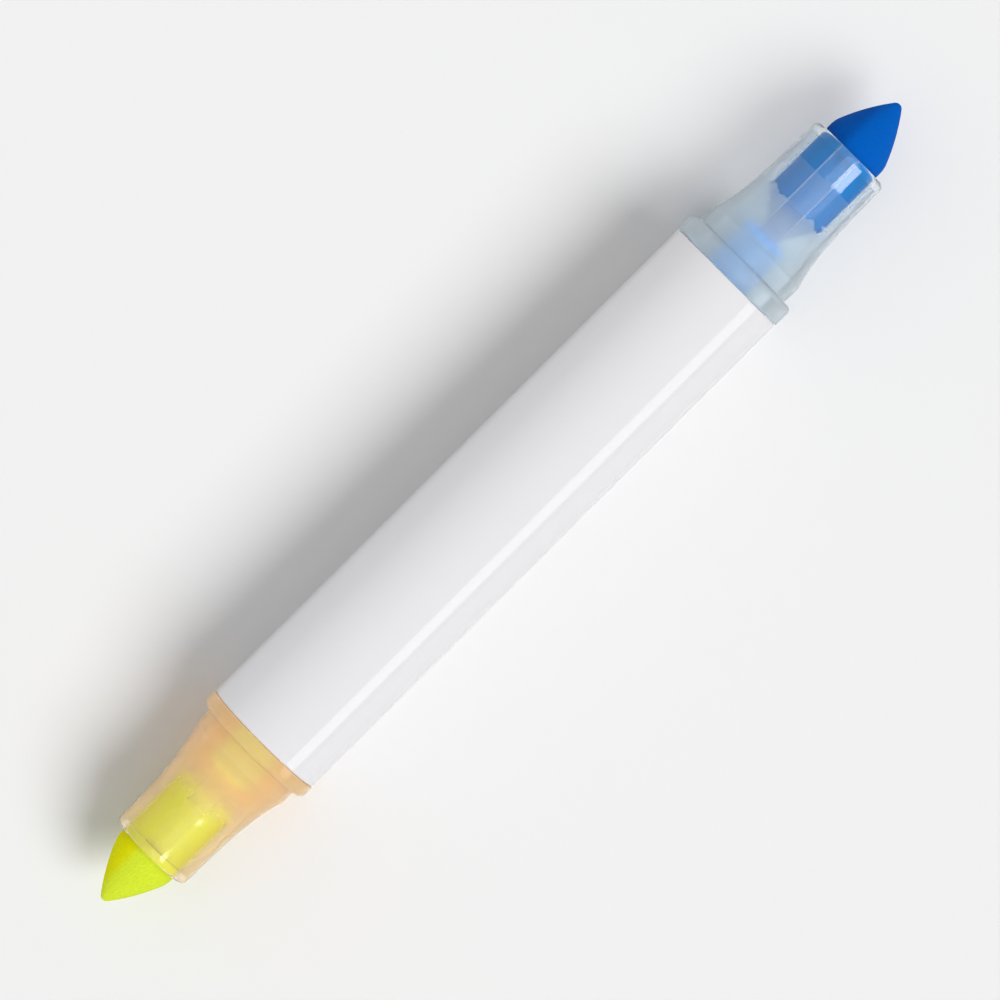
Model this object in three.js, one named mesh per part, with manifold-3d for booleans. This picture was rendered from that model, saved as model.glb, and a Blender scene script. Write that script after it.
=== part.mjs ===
// A double-ended felt marking pen: a round barrel with an ink reservoir, a nib and a nib holder at each end.
// Units are millimetres. The pen lies along X with its blue end at +X, and rests on the plane z = 0.

import Module from 'manifold-3d';
import * as THREE from 'three';
import { mergeVertices } from 'three/addons/utils/BufferGeometryUtils.js';

const wasm = await Module();
wasm.setup();

// Barrel
const BARREL_LENGTH = 76.6;
const BARREL_RADIUS = 8.0;
const BARREL_WALL = 1.5;
const BARREL_EDGE = 0.2;        // chamfer round both open ends
const WEB_THICKNESS = 1.6;      // wall half-way along that keeps the two inks apart
const CENTRING_RIBS = 6;        // fins that hold a reservoir on the barrel's axis
const CENTRING_RIB_WIDTH = 1.0;
const CENTRING_RIB_SETBACK = 2.0;  // from a holder's spigot to the fins' ends

// Fits
const SPIGOT_CLEARANCE = 0.08;  // between a holder's spigot and the barrel's bore, on the radius
const NIB_CLEARANCE = 0.06;     // between a nib and the lip and ribs that grip it, on the radius
const TAIL_CLEARANCE = 0.08;    // between a nib's tail and the hole it makes in its reservoir
const FILM_CLEARANCE = 0.05;    // between a reservoir and the film round it
const RIB_CLEARANCE = 0.1;      // between the film and the barrel's fins
const SEAT_GAP = 0.05;          // between faces that rest on each other

// Nib holder
const SPIGOT_LENGTH = 10.0;
const SPIGOT_WALL = 1.0;
const SPIGOT_CHAMFER = 0.5;
const FLANGE_OVERHANG = 0.08;   // how far the flange stands proud of the barrel, on the radius
const SHOULDER_RADIUS = 0.75;   // rounding of the flange's front edge
const FLANGE_STEP = 1.18;       // from the flange in to the collar, on the radius
const NOZZLE_TAPER = 0.1;       // how much wider the nozzle is where its flare ends
const NOZZLE_ROUNDING = 0.7;
const NOZZLE_WALL = 0.5;
const FLARE_LENGTH = 10.2;
const LIP_THICKNESS = 1.2;
const GRIP_RIBS = 4;
const GRIP_RIB_WIDTH = 2.7;
const GRIP_RIB_HEIGHT = 0.84;
const GRIP_RIB_SETBACK = 3.0;   // from the collar's end to the start of the grip ribs

// Nib
const NIB_RADIUS = 4.1;
const NIB_SHOULDER_RADIUS = 3.4;
const NIB_SHOULDER_ANGLE = THREE.MathUtils.degToRad(22);  // slope of the nib where its shoulder ends
const NIB_TIP_RADIUS = 0.74;
const NIB_TIP_ANGLE = THREE.MathUtils.degToRad(37);       // slope of the nib where its ball tip starts
const NIB_BACK_CONE_LENGTH = 3.8;
const NIB_CONE_GAP = 0.2;        // at least this, from the cone behind a nib to its reservoir
const TAIL_RADIUS = 1.5;
const TAIL_POINT_RADIUS = 0.9;
const TAIL_POINT_LENGTH = 1.0;
const TAIL_DEPTH = 4.0;         // how far the tail pokes into the reservoir

// Reservoir
const RESERVOIR_RADIUS = 3.0;
const RESERVOIR_ROUNDING = 0.5;
const FILM_THICKNESS = 0.15;

// What differs between the two ends
const ENDS = [
  {
    name: 'blue',
    direction: 1,
    flangeThickness: 2.75,
    collarEnd: 5.0,
    nozzleLength: 20.5,
    nibReach: 8.1,
    nibBodyLength: 9.2,
    reservoirReach: 6.06,
    holderColour: '#b0bac2',
    nibColour: '#0263c4',
    inkColour: '#6aa5dc',
  },
  {
    name: 'yellow',
    direction: -1,
    flangeThickness: 2.0,
    collarEnd: 3.9,
    nozzleLength: 19.0,
    nibReach: 7.85,
    nibBodyLength: 9.8,
    reservoirReach: 5.5,
    holderColour: '#dcc494',
    nibColour: '#d4ec3c',
    inkColour: '#dbe678',
  },
];

const SIDES = 48;
const FACET_DOWN = Math.PI / SIDES;  // turns each ring so that a flat, not a corner, faces down
const ARC_STEPS = 4;
const FLARE_STEPS = 8;

const BORE_RADIUS = BARREL_RADIUS - BARREL_WALL;
const FLANGE_RADIUS = BARREL_RADIUS + FLANGE_OVERHANG;
const SPIGOT_RADIUS = BORE_RADIUS - SPIGOT_CLEARANCE;
const SPIGOT_BORE = SPIGOT_RADIUS - SPIGOT_WALL;
const COLLAR_RADIUS = FLANGE_RADIUS - FLANGE_STEP;
const MOUTH_RADIUS = NIB_RADIUS + NIB_CLEARANCE;
const CHAMBER_RADIUS = MOUTH_RADIUS + GRIP_RIB_HEIGHT;
const NOZZLE_RADIUS = CHAMBER_RADIUS + NOZZLE_WALL;
const FILM_BORE = RESERVOIR_RADIUS + FILM_CLEARANCE;
const FILM_RADIUS = FILM_BORE + FILM_THICKNESS;
const TAIL_HOLE_RADIUS = TAIL_RADIUS + TAIL_CLEARANCE;
const AXIS_HEIGHT = FLANGE_RADIUS * Math.cos(FACET_DOWN);
const OVERLAP = 0.2;                 // how far joined solids run into each other
const WELD_DISTANCE = 1e-4;          // corners closer than this are one corner

// Points are [radius, distance along the axis].
function arc(centreRadius, centreAlong, radius, from, to) {
  const points = [];
  for (let i = 0; i <= ARC_STEPS; i += 1) {
    const angle = from + ((to - from) * i) / ARC_STEPS;
    points.push([centreRadius + radius * Math.cos(angle), centreAlong + radius * Math.sin(angle)]);
  }
  return points;
}

function cubic(start, startPull, endPull, end, steps) {
  const curve = new THREE.CubicBezierCurve(
    new THREE.Vector2(...start),
    new THREE.Vector2(...startPull),
    new THREE.Vector2(...endPull),
    new THREE.Vector2(...end),
  );
  return curve.getPoints(steps).map((point) => [point.x, point.y]);
}

// A ring or a solid of revolution. A ring's profile comes back to where it started.
function revolve(profile) {
  const points = profile.map(([radius, along]) => new THREE.Vector2(radius, along));
  return new THREE.LatheGeometry(points, SIDES, FACET_DOWN);
}

function closed(profile) {
  return [...profile, profile[0]];
}

function toManifold(geometry) {
  const bare = geometry.clone();
  bare.deleteAttribute('normal');
  bare.deleteAttribute('uv');
  const merged = mergeVertices(bare, WELD_DISTANCE);
  const triangles = [];
  const index = merged.index.array;
  for (let i = 0; i < index.length; i += 3) {
    const [a, b, c] = [index[i], index[i + 1], index[i + 2]];
    if (a !== b && b !== c && c !== a) {
      triangles.push(a, b, c);
    }
  }
  return new wasm.Manifold(new wasm.Mesh({
    numProp: 3,
    vertProperties: new Float32Array(merged.attributes.position.array),
    triVerts: new Uint32Array(triangles),
  }));
}

function toGeometry(solid) {
  const mesh = solid.getMesh();
  const geometry = new THREE.BufferGeometry();
  geometry.setAttribute('position', new THREE.BufferAttribute(new Float32Array(mesh.vertProperties), 3));
  geometry.setIndex(new THREE.BufferAttribute(new Uint32Array(mesh.triVerts), 1));
  geometry.computeVertexNormals();
  return geometry;
}

// A fin along the axis, from radius inner to radius outer, turned about the axis.
function fin(inner, outer, width, from, to, turn) {
  const geometry = new THREE.BoxGeometry(width, to - from, outer - inner);
  geometry.translate(0, (from + to) / 2, (inner + outer) / 2);
  geometry.rotateY(turn);
  return toManifold(geometry);
}

function addFins(solid, count, inner, outer, width, from, to) {
  let result = solid;
  for (let i = 0; i < count; i += 1) {
    result = result.add(fin(inner, outer, width, from, to, (i * 2 * Math.PI) / count));
  }
  return result;
}

function barrel() {
  const half = BARREL_LENGTH / 2;
  const tube = toManifold(revolve(closed([
    [BORE_RADIUS, -half + BARREL_EDGE],
    [BORE_RADIUS + BARREL_EDGE, -half],
    [BARREL_RADIUS - BARREL_EDGE, -half],
    [BARREL_RADIUS, -half + BARREL_EDGE],
    [BARREL_RADIUS, half - BARREL_EDGE],
    [BARREL_RADIUS - BARREL_EDGE, half],
    [BORE_RADIUS + BARREL_EDGE, half],
    [BORE_RADIUS, half - BARREL_EDGE],
  ])));
  const web = toManifold(revolve([
    [0, -WEB_THICKNESS / 2],
    [BORE_RADIUS + OVERLAP, -WEB_THICKNESS / 2],
    [BORE_RADIUS + OVERLAP, WEB_THICKNESS / 2],
    [0, WEB_THICKNESS / 2],
  ]));
  const finReach = half - SPIGOT_LENGTH - CENTRING_RIB_SETBACK;
  const finInner = FILM_RADIUS + RIB_CLEARANCE;
  const finOuter = BORE_RADIUS + OVERLAP;
  const finned = addFins(
    tube.add(web), CENTRING_RIBS, finInner, finOuter, CENTRING_RIB_WIDTH, -finReach, finReach,
  );
  return toGeometry(finned);
}

// The rest are drawn along +Y from the barrel's end face, with what is inside the barrel at negative values.

function holder(end) {
  const front = end.nozzleLength;
  const shoulderStart = end.flangeThickness - SHOULDER_RADIUS;
  const flareEnd = end.collarEnd + FLARE_LENGTH;
  const flareRadius = NOZZLE_RADIUS + NOZZLE_TAPER;
  const drop = COLLAR_RADIUS - flareRadius;
  const chamberStart = end.collarEnd + GRIP_RIB_SETBACK;
  const outside = [
    [SPIGOT_RADIUS - SPIGOT_CHAMFER, -SPIGOT_LENGTH],
    [SPIGOT_RADIUS, -SPIGOT_LENGTH + 2 * SPIGOT_CHAMFER],
    [SPIGOT_RADIUS, SEAT_GAP],
    [FLANGE_RADIUS, SEAT_GAP],
    ...arc(FLANGE_RADIUS - SHOULDER_RADIUS, shoulderStart, SHOULDER_RADIUS, 0, Math.PI / 2),
    [COLLAR_RADIUS, end.flangeThickness],
    ...cubic(
      [COLLAR_RADIUS, end.collarEnd],
      [COLLAR_RADIUS - drop / 2, end.collarEnd + FLARE_LENGTH / 6],
      [flareRadius + drop / 9, end.collarEnd + FLARE_LENGTH / 2.2],
      [flareRadius, flareEnd],
      FLARE_STEPS,
    ),
    ...arc(NOZZLE_RADIUS - NOZZLE_ROUNDING, front - NOZZLE_ROUNDING, NOZZLE_ROUNDING, 0, Math.PI / 2),
  ];
  const inside = [
    [MOUTH_RADIUS, front],
    [MOUTH_RADIUS, front - LIP_THICKNESS],
    [CHAMBER_RADIUS, front - LIP_THICKNESS],
    [CHAMBER_RADIUS, chamberStart],
    [SPIGOT_BORE, end.collarEnd],
    [SPIGOT_BORE, -SPIGOT_LENGTH],
  ];
  const shell = toManifold(revolve(closed([...outside, ...inside])));
  const ribbed = addFins(
    shell,
    GRIP_RIBS,
    MOUTH_RADIUS,
    CHAMBER_RADIUS + NOZZLE_WALL / 3,
    GRIP_RIB_WIDTH,
    chamberStart,
    front - LIP_THICKNESS + OVERLAP,
  );
  return toGeometry(ribbed);
}

// A bullet: a cylinder, a rounded shoulder, a bowed flank and a ball tip, all tangent, with a tail behind.
function nib(end) {
  const mouth = end.nozzleLength;
  const tip = mouth + end.nibReach;
  const tipCentre = tip - NIB_TIP_RADIUS;
  const flankDrop = NIB_RADIUS
    - NIB_SHOULDER_RADIUS * (1 - Math.cos(NIB_SHOULDER_ANGLE))
    - NIB_TIP_RADIUS * Math.cos(NIB_TIP_ANGLE);
  const flankRadius = flankDrop / (Math.cos(NIB_SHOULDER_ANGLE) - Math.cos(NIB_TIP_ANGLE));
  const flankCentre = [
    (NIB_TIP_RADIUS - flankRadius) * Math.cos(NIB_TIP_ANGLE),
    tipCentre + (NIB_TIP_RADIUS - flankRadius) * Math.sin(NIB_TIP_ANGLE),
  ];
  const shoulderStart = flankCentre[1] + (flankRadius - NIB_SHOULDER_RADIUS) * Math.sin(NIB_SHOULDER_ANGLE);
  const bodyBack = mouth - end.nibBodyLength;
  // The cone stops short of the reservoir, whose hole only takes the tail.
  const tailTop = Math.max(bodyBack - NIB_BACK_CONE_LENGTH, end.reservoirReach + NIB_CONE_GAP);
  const tailEnd = end.reservoirReach - TAIL_DEPTH;
  return revolve([
    [0, tailEnd],
    [TAIL_POINT_RADIUS, tailEnd],
    [TAIL_RADIUS, tailEnd + TAIL_POINT_LENGTH],
    [TAIL_RADIUS, tailTop],
    [NIB_RADIUS, bodyBack],
    ...arc(NIB_RADIUS - NIB_SHOULDER_RADIUS, shoulderStart, NIB_SHOULDER_RADIUS, 0, NIB_SHOULDER_ANGLE),
    ...arc(...flankCentre, flankRadius, NIB_SHOULDER_ANGLE, NIB_TIP_ANGLE).slice(1, -1),
    ...arc(0, tipCentre, NIB_TIP_RADIUS, NIB_TIP_ANGLE, Math.PI / 2).slice(0, -1),
    [0, tip],
  ]);
}

// A fibre rod with a blind hole where the nib's tail has pushed in.
function reservoir(end) {
  const back = -BARREL_LENGTH / 2 + WEB_THICKNESS / 2 + SEAT_GAP;
  const front = end.reservoirReach;
  const holeEnd = front - TAIL_DEPTH - TAIL_CLEARANCE;
  return revolve([
    [0, back],
    [RESERVOIR_RADIUS, back],
    ...arc(RESERVOIR_RADIUS - RESERVOIR_ROUNDING, front - RESERVOIR_ROUNDING, RESERVOIR_ROUNDING, 0, Math.PI / 2),
    [TAIL_HOLE_RADIUS, front],
    [TAIL_HOLE_RADIUS, holeEnd],
    [0, holeEnd],
  ]);
}

function reservoirFilm(end) {
  const back = -BARREL_LENGTH / 2 + WEB_THICKNESS / 2 + SEAT_GAP;
  const front = end.reservoirReach - RESERVOIR_ROUNDING;
  return revolve(closed([
    [FILM_BORE, back],
    [FILM_RADIUS, back],
    [FILM_RADIUS, front],
    [FILM_BORE, front],
  ]));
}

// The ends differ in length, so the barrel stands a little to one side of the pen's middle.
const [blueReach, yellowReach] = ENDS.map((end) => BARREL_LENGTH / 2 + end.nozzleLength + end.nibReach);

const pen = new THREE.Group();
pen.position.x = (yellowReach - blueReach) / 2;
pen.position.z = AXIS_HEIGHT;

function addMesh(parent, name, geometry, colour, roughness) {
  const material = new THREE.MeshStandardMaterial({ color: colour, roughness, metalness: 0 });
  const mesh = new THREE.Mesh(geometry, material);
  mesh.name = name;
  parent.add(mesh);
  return mesh;
}

const barrelMesh = addMesh(pen, 'barrel', barrel(), '#e6e6e8', 0.25);
barrelMesh.rotation.z = -Math.PI / 2;

for (const end of ENDS) {
  const side = new THREE.Group();
  side.position.x = (end.direction * BARREL_LENGTH) / 2;
  side.rotation.z = (-end.direction * Math.PI) / 2;
  addMesh(side, `${end.name}_nib_holder`, holder(end), end.holderColour, 0.4);
  addMesh(side, `${end.name}_nib`, nib(end), end.nibColour, 0.9);
  addMesh(side, `${end.name}_reservoir`, reservoir(end), end.inkColour, 0.9);
  addMesh(side, `${end.name}_reservoir_film`, reservoirFilm(end), '#f2f2ee', 0.3);
  pen.add(side);
}

export default pen;
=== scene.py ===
"""The looks of a double-ended felt marking pen, built round its CAD frame.

The pen lies along X with its blue end at +X, and rests on the floor at z = 0. Lengths are in metres.
Along a nib holder, a nib or a reservoir, places are counted outwards from the barrel's end face.
"""
import math

import bmesh
import bpy
from bpy.props import FloatProperty, FloatVectorProperty, IntProperty, PointerProperty
from mathutils import Matrix, Vector


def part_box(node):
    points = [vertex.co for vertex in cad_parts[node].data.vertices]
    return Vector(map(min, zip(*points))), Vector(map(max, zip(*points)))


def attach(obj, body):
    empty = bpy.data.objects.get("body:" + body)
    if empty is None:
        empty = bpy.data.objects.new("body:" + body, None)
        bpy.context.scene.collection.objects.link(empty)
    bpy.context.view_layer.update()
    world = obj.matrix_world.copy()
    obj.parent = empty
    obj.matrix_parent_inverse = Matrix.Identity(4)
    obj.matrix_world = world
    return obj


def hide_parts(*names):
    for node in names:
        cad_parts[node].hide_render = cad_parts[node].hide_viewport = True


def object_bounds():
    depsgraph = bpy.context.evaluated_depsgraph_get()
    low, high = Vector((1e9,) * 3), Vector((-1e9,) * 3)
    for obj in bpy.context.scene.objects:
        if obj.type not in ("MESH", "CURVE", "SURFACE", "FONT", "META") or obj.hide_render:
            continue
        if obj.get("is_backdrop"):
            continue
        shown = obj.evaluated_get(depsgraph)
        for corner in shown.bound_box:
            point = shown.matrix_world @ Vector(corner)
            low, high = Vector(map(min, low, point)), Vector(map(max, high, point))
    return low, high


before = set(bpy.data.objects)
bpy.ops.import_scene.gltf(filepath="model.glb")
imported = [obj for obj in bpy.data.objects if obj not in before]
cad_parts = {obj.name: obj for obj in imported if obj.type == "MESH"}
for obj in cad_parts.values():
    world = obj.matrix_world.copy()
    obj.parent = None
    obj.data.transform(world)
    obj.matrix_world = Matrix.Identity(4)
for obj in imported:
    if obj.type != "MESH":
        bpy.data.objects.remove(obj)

bl_info = {
    "name": "Marking Pen",
    "version": (1, 0, 0),
    "blender": (4, 5, 0),
    "location": "3D View > Sidebar > Pen",
    "description": "Builds a double-ended felt marking pen and the studio it lies in",
    "category": "Add Mesh",
}

MM = 0.001
ENDS = {"blue": 1, "yellow": -1}  # which way each end points along X
SMOOTH_ANGLE = math.radians(32)
ARC_STEPS = 8
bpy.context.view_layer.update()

CAMERA_LENS = 300.0               # mm, long, so that the pen's two ends are seen nearly alike
CAMERA_FIELD = 0.1172             # width of what the camera sees, at the pen's axis
CAMERA_LEAN = 0.036               # the camera's offset along the pen, as a share of its height
CAMERA_ASIDE = 0.00026            # how far +Y of the pen's axis the camera aims
CAMERA_ALONG = 0.00022            # how far +X of the pen's middle the camera aims
PEN_SLOPE = math.radians(44.9)    # how steeply the pen runs up to the right in the view

# Key lights: tilt from straight up towards -Y and spread, in degrees, then the share of the light on
# a level surface.
FLOOR_KEY = (42.0, 34.0, 0.53)
PEN_KEY = (26.0, 56.0, 0.475)
PASSED_SHARE = 0.45               # how much of the floor's light the clear blue end lets by
# Lamps seen only as reflections: tilt as above, distance, size along and across the pen, radiance,
# and place along X.
STRIP_SOFTBOX = (69.0, 0.7, (0.153, 0.24), 2.7, -0.0285)
WINDOW_SOFTBOX = (32.6, 0.02, (0.0040, 0.0096), 9.0, 0.0565)
GLINT_SOFTBOX = (33.0, 0.15, (0.0014, 0.036), 10.0, -0.078)
SKY_NEAR_KEY = 0.40               # strength of the surroundings towards -Y
SKY_OPPOSITE = 0.54               # and towards +Y
FLOOR_SIZE = 8.0

FLARE_STEPS = 20
FLANK_STEPS = 12
SOFT_STEPS = 4                    # steps round a small softened edge
EDGE_SOFTENING = 0.12 * MM        # rounding of the flange's back and foot and of the nozzle's mouth
GRIP_RIB_EDGE = 0.08 * MM         # rounding of a grip rib's edges
FIN_EDGE = 0.05 * MM              # rounding of a fin's edges
WELD_DISTANCE = 1e-6

POLYPROPYLENE_IOR = 1.49
# In millimetres:
DRY_EDGE = (-0.5, 0.1)            # where a nib starts to be dry, from the nozzle's mouth
PAINTED_SHADE_SIDE = (0.6, 2.0)            # how far towards +Y a nib's painted shade comes in, on the side away from the key light
FULL_EDGE = (-2.4, 0.4)           # where it starts to be full of ink, from its body's back
RIB_EDGE_BLUR = 0.03              # softness of a grip rib's sides
RIB_SIDE_HALF = 0.07              # half the width of the bright line along each side
FRONT_BLUR = 0.02                 # softness of the edge of the wall next to the mouth


def linear(hex_colour):
    """An sRGB hex colour as the linear RGBA that nodes and lights take."""
    channels = [int(hex_colour[i:i + 2], 16) / 255 for i in (1, 3, 5)]
    curve = [c / 12.92 if c <= 0.04045 else ((c + 0.055) / 1.055) ** 2.4 for c in channels]
    return (*curve, 1.0)


def length(name, description, default):
    return FloatProperty(name=name, description=description, default=default, unit="LENGTH", precision=5)


def angle(name, description, degrees):
    return FloatProperty(name=name, description=description, default=math.radians(degrees), subtype="ANGLE")


def colour(name, description, hex_colour):
    return FloatVectorProperty(
        name=name, description=description, default=linear(hex_colour)[:3],
        subtype="COLOR", size=3, min=0.0, max=1.0,
    )


class PenSizes(bpy.types.PropertyGroup):
    """Sizes of the pen that its CAD boxes don't say."""

    sides: IntProperty(name="Sides", description="Faces round each turned piece", default=144, min=24)
    barrel_wall: length("Barrel wall", "Thickness of the barrel's wall", 1.5 * MM)
    barrel_edge: length("Barrel edge", "Rounding of the barrel's open ends", 0.2 * MM)
    web: length("Web", "Thickness of the wall between the two inks", 1.6 * MM)
    fin_count: IntProperty(name="Fins", description="Fins that centre a reservoir in the barrel", default=6)
    fin_width: length("Fin width", "Width of a fin in the barrel", 1.0 * MM)
    fin_setback: length("Fin setback", "From a holder's spigot to the fins' ends", 2.0 * MM)
    fin_gap: length("Fin gap", "Gap between a fin and the film round a reservoir", 0.1 * MM)
    spigot_clearance: length("Spigot clearance", "Gap between a spigot and the barrel's bore", 0.08 * MM)
    spigot_wall: length("Spigot wall", "Thickness of a holder's spigot", 1.0 * MM)
    spigot_chamfer: length("Spigot chamfer", "Chamfer on the end of a spigot", 0.5 * MM)
    flange_step: length("Flange step", "From the flange in to the collar", 1.18 * MM)
    shoulder: length("Shoulder", "Rounding of the flange's front edge", 0.75 * MM)
    flange_blue: length("Blue flange", "Thickness of the blue end's flange", 2.75 * MM)
    flange_yellow: length("Yellow flange", "Thickness of the yellow end's flange", 2.0 * MM)
    collar_blue: length("Blue collar", "Where the blue end's collar stops", 5.0 * MM)
    collar_yellow: length("Yellow collar", "Where the yellow end's collar stops", 3.9 * MM)
    flare: length("Flare", "Length of the flare between collar and nozzle", 10.2 * MM)
    nozzle_taper: length("Nozzle taper", "How much wider the nozzle is where its flare ends", 0.1 * MM)
    nozzle_rounding: length("Nozzle rounding", "Rounding of the nozzle's front edge", 0.7 * MM)
    nozzle_wall: length("Nozzle wall", "Thickness of the nozzle's wall", 0.5 * MM)
    lip: length("Lip", "Thickness of the lip round the nozzle's mouth", 1.2 * MM)
    rib_count: IntProperty(name="Grip ribs", description="Ribs that grip a nib in its nozzle", default=4)
    rib_width: length("Grip rib width", "Width of a grip rib", 2.7 * MM)
    rib_height: length("Grip rib height", "Height of a grip rib", 0.84 * MM)
    rib_setback: length("Grip rib setback", "From the collar's end to the grip ribs", 3.0 * MM)
    nib_clearance: length("Nib clearance", "Gap between a nib and the lip that grips it", 0.06 * MM)
    nib_tip: length("Nib tip", "Radius of a nib's ball tip", 0.74 * MM)
    nib_tip_slope: angle("Nib tip slope", "Slope of a nib where its ball tip starts", 37)
    nib_shoulder: length("Nib shoulder", "Rounding between a nib's body and its flank", 3.4 * MM)
    nib_shoulder_slope: angle("Nib shoulder slope", "Slope of a nib where its shoulder ends", 22)
    nib_body_blue: length("Blue nib body", "How far back the blue nib is full width", 9.2 * MM)
    nib_body_yellow: length("Yellow nib body", "How far back the yellow nib is full width", 9.8 * MM)
    nib_back_cone: length("Nib back cone", "Length of the cone behind a nib's body", 3.8 * MM)
    cone_gap: length("Cone gap", "Least gap from the cone behind a nib to its reservoir", 0.2 * MM)
    tail_radius: length("Tail radius", "Radius of the tail behind a nib", 1.5 * MM)
    tail_point_radius: length("Tail point", "Radius of the tail's end", 0.9 * MM)
    tail_point_length: length("Tail point length", "Length of the tail's point", 1.0 * MM)
    tail_depth: length("Tail depth", "How far a tail pokes into its reservoir", 4.0 * MM)
    tail_clearance: length("Tail clearance", "Gap between a tail and its hole", 0.08 * MM)
    reservoir_rounding: length("Reservoir rounding", "Rounding of a reservoir's front edge", 0.5 * MM)
    film_thickness: length("Film", "Thickness of the film round a reservoir", 0.15 * MM)
    seat_gap: length("Seat gap", "Gap between faces that rest on each other", 0.05 * MM)


class HolderLook(bpy.types.PropertyGroup):
    """How one end's frosted nib holder looks. Places are in millimetres from the barrel's end face."""

    skin: colour("Skin", "Milky plastic", "#e0e6ee")
    # The glow is painted light: an emission on the dry wall.
    glow: FloatProperty(name="Glow", description="Light from the ink that the wall carries along")
    glow_colour: colour("Glow colour", "Colour of that light", "#ffffff")
    clear_tint: colour("Clear tint", "The same where ink has wetted it", "#ffffff")
    milk_dry: FloatProperty(name="Dry milkiness", description="Share of light a dry wall scatters")
    milk_wet: FloatProperty(name="Wet milkiness", description="The same where ink has wetted it")
    milk_front: FloatProperty(name="Front milkiness", description="The same next to the mouth")
    milk_rib: FloatProperty(name="Rib milkiness", description="How much more a grip rib scatters")
    milk_side: FloatProperty(name="Rib side milkiness", description="The same, of a rib's two sides")
    inner_rough: FloatProperty(name="Inner roughness", description="Roughness of the dry inner wall")
    wet_rough: FloatProperty(name="Wet roughness", description="The same where ink has wetted it")
    wet_start: FloatProperty(name="Wet start", description="Where the ink has hardly reached")
    wet_full: FloatProperty(name="Wet full", description="Where the ink has covered the wall")
    wet_blur: FloatProperty(name="Wet blur", description="Softness of the patches' edges")
    front_start: FloatProperty(name="Front start", description="Where the wall next to the mouth begins")
    rib_start: FloatProperty(name="Rib start", description="Where a grip rib starts to show")
    rib_half: FloatProperty(name="Rib half width", description="Half a grip rib's width", default=1.35)
    wet_half: FloatProperty(name="Wet half width", description="How far the ink spreads sideways")
    side_blur: FloatProperty(name="Side blur", description="Softness of the ink's side edges", default=0.1)
    blot_scale: FloatProperty(name="Blot scale", description="Blots for each millimetre", default=0.7)
    blot_swing: FloatProperty(name="Blot swing", description="How uneven the ink's edge is", default=1.4)


# What the two ends don't share.
HOLDER_LOOKS = {
    "blue": {
        "skin": linear("#eff9ff")[:3], "clear_tint": linear("#f8fcff")[:3],
        "milk_dry": 0.18, "milk_wet": 0.04, "milk_front": 0.0, "milk_rib": 0.04, "milk_side": 0.16,
        "inner_rough": 0.42, "wet_rough": 0.03,
        "wet_start": 9.5, "wet_full": 13.5, "wet_blur": 0.06, "wet_half": 4.4, "side_blur": 0.1,
        "front_start": 16.1, "rib_start": 6.5, "glow": 0.035, "glow_colour": linear("#d4e6f6")[:3],
    },
    "yellow": {
        "skin": linear("#ffe0ac")[:3], "clear_tint": linear("#fffff4")[:3],
        "milk_dry": 0.38, "milk_wet": 0.05, "milk_front": 0.05, "milk_rib": 0.02,
        "inner_rough": 0.42, "wet_rough": 0.2,
        "wet_start": 4.5, "wet_full": 12.5, "wet_blur": 0.5, "wet_half": 4.4, "side_blur": 0.7,
        "front_start": 30.0, "rib_start": 5.0, "blot_swing": 0.25,
        "glow": 0.08, "glow_colour": linear("#ffd2b0")[:3],
    },
}


class PenColours(bpy.types.PropertyGroup):
    """Colours and glows of the pen, and the colour of what it lies on."""

    barrel: colour("Barrel", "White moulded polypropylene", "#edecef")
    nib_blue: colour("Blue nib", "Fibre with blue ink, dry outside", "#0062c6")
    nib_yellow: colour("Yellow nib", "Fibre with fluorescent yellow ink, dry outside", "#dff238")
    # Painted shade: these two darker nib colours are painted on the +Y side, away from the key light; they
    # are not ink that dried more thickly.
    worn_blue: colour("Worn blue nib", "The same where ink has dried more thickly", "#0254b0")
    worn_yellow: colour("Worn yellow nib", "The same where ink has dried more thickly", "#eceb08")
    # Painted glows: emission that stands in for the light reaching the nibs and reservoirs behind the
    # walls; for the yellow ink it is partly its own fluorescence.
    glow_blue: FloatProperty(name="Blue glow", description="Light a soaked blue nib gives", default=0.0)
    glow_yellow: FloatProperty(name="Yellow glow", description="The same, of the yellow nib", default=0.14)
    rod_glow_blue: FloatProperty(name="Blue rod glow", description="The same, of its rod", default=0.5)
    rod_glow_yellow: FloatProperty(name="Yellow rod glow", description="The same, of its rod", default=0.7)
    # Partly painted light: the soaked colours are wet ink, deeper than the dry nib, and also painted
    # brighter to make up for the light that the holder's walls take away.
    soaked_blue: colour("Soaked blue nib", "The same inside the holder", "#009af0")
    soaked_yellow: colour("Soaked yellow nib", "The same inside the holder", "#fbff00")
    tail_blue: colour("Blue tail", "Fibre that holds little blue ink", "#98b8e2")
    tail_yellow: colour("Yellow tail", "Fibre that holds little yellow ink", "#f2dc9c")
    rod_blue: colour("Blue reservoir", "Fibre rod that holds the blue ink", "#0ca6ff")
    rod_yellow: colour("Yellow reservoir", "Fibre rod that holds the yellow ink", "#ccff3c")
    film: colour("Film", "Clear film round a reservoir", "#f4f4f0")
    floor: colour("Floor", "Pale seamless paper", "#f2f2f2")


# ---------------------------------------------------------------- places from the frame


def box(node):
    low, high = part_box(node)
    return Vector(low), Vector(high)


def ring_radius(node):
    """The radius of a CAD node's widest ring, across its flats."""
    low, high = box(node)
    return (high.y - low.y) / 2


def pen_axis():
    """The height of the pen's axis above the floor."""
    low, high = box("barrel")
    return (low.z + high.z) / 2


def end_face(direction):
    """Where the barrel's end face lies along X, at the end that points this way."""
    low, high = box("barrel")
    return high.x if direction > 0 else low.x


def barrel_half():
    return (end_face(1) - end_face(-1)) / 2


def reach(node, direction):
    """How far a node sticks out past the barrel's end face."""
    low, high = box(node)
    return direction * ((high.x if direction > 0 else low.x) - end_face(direction))


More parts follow.
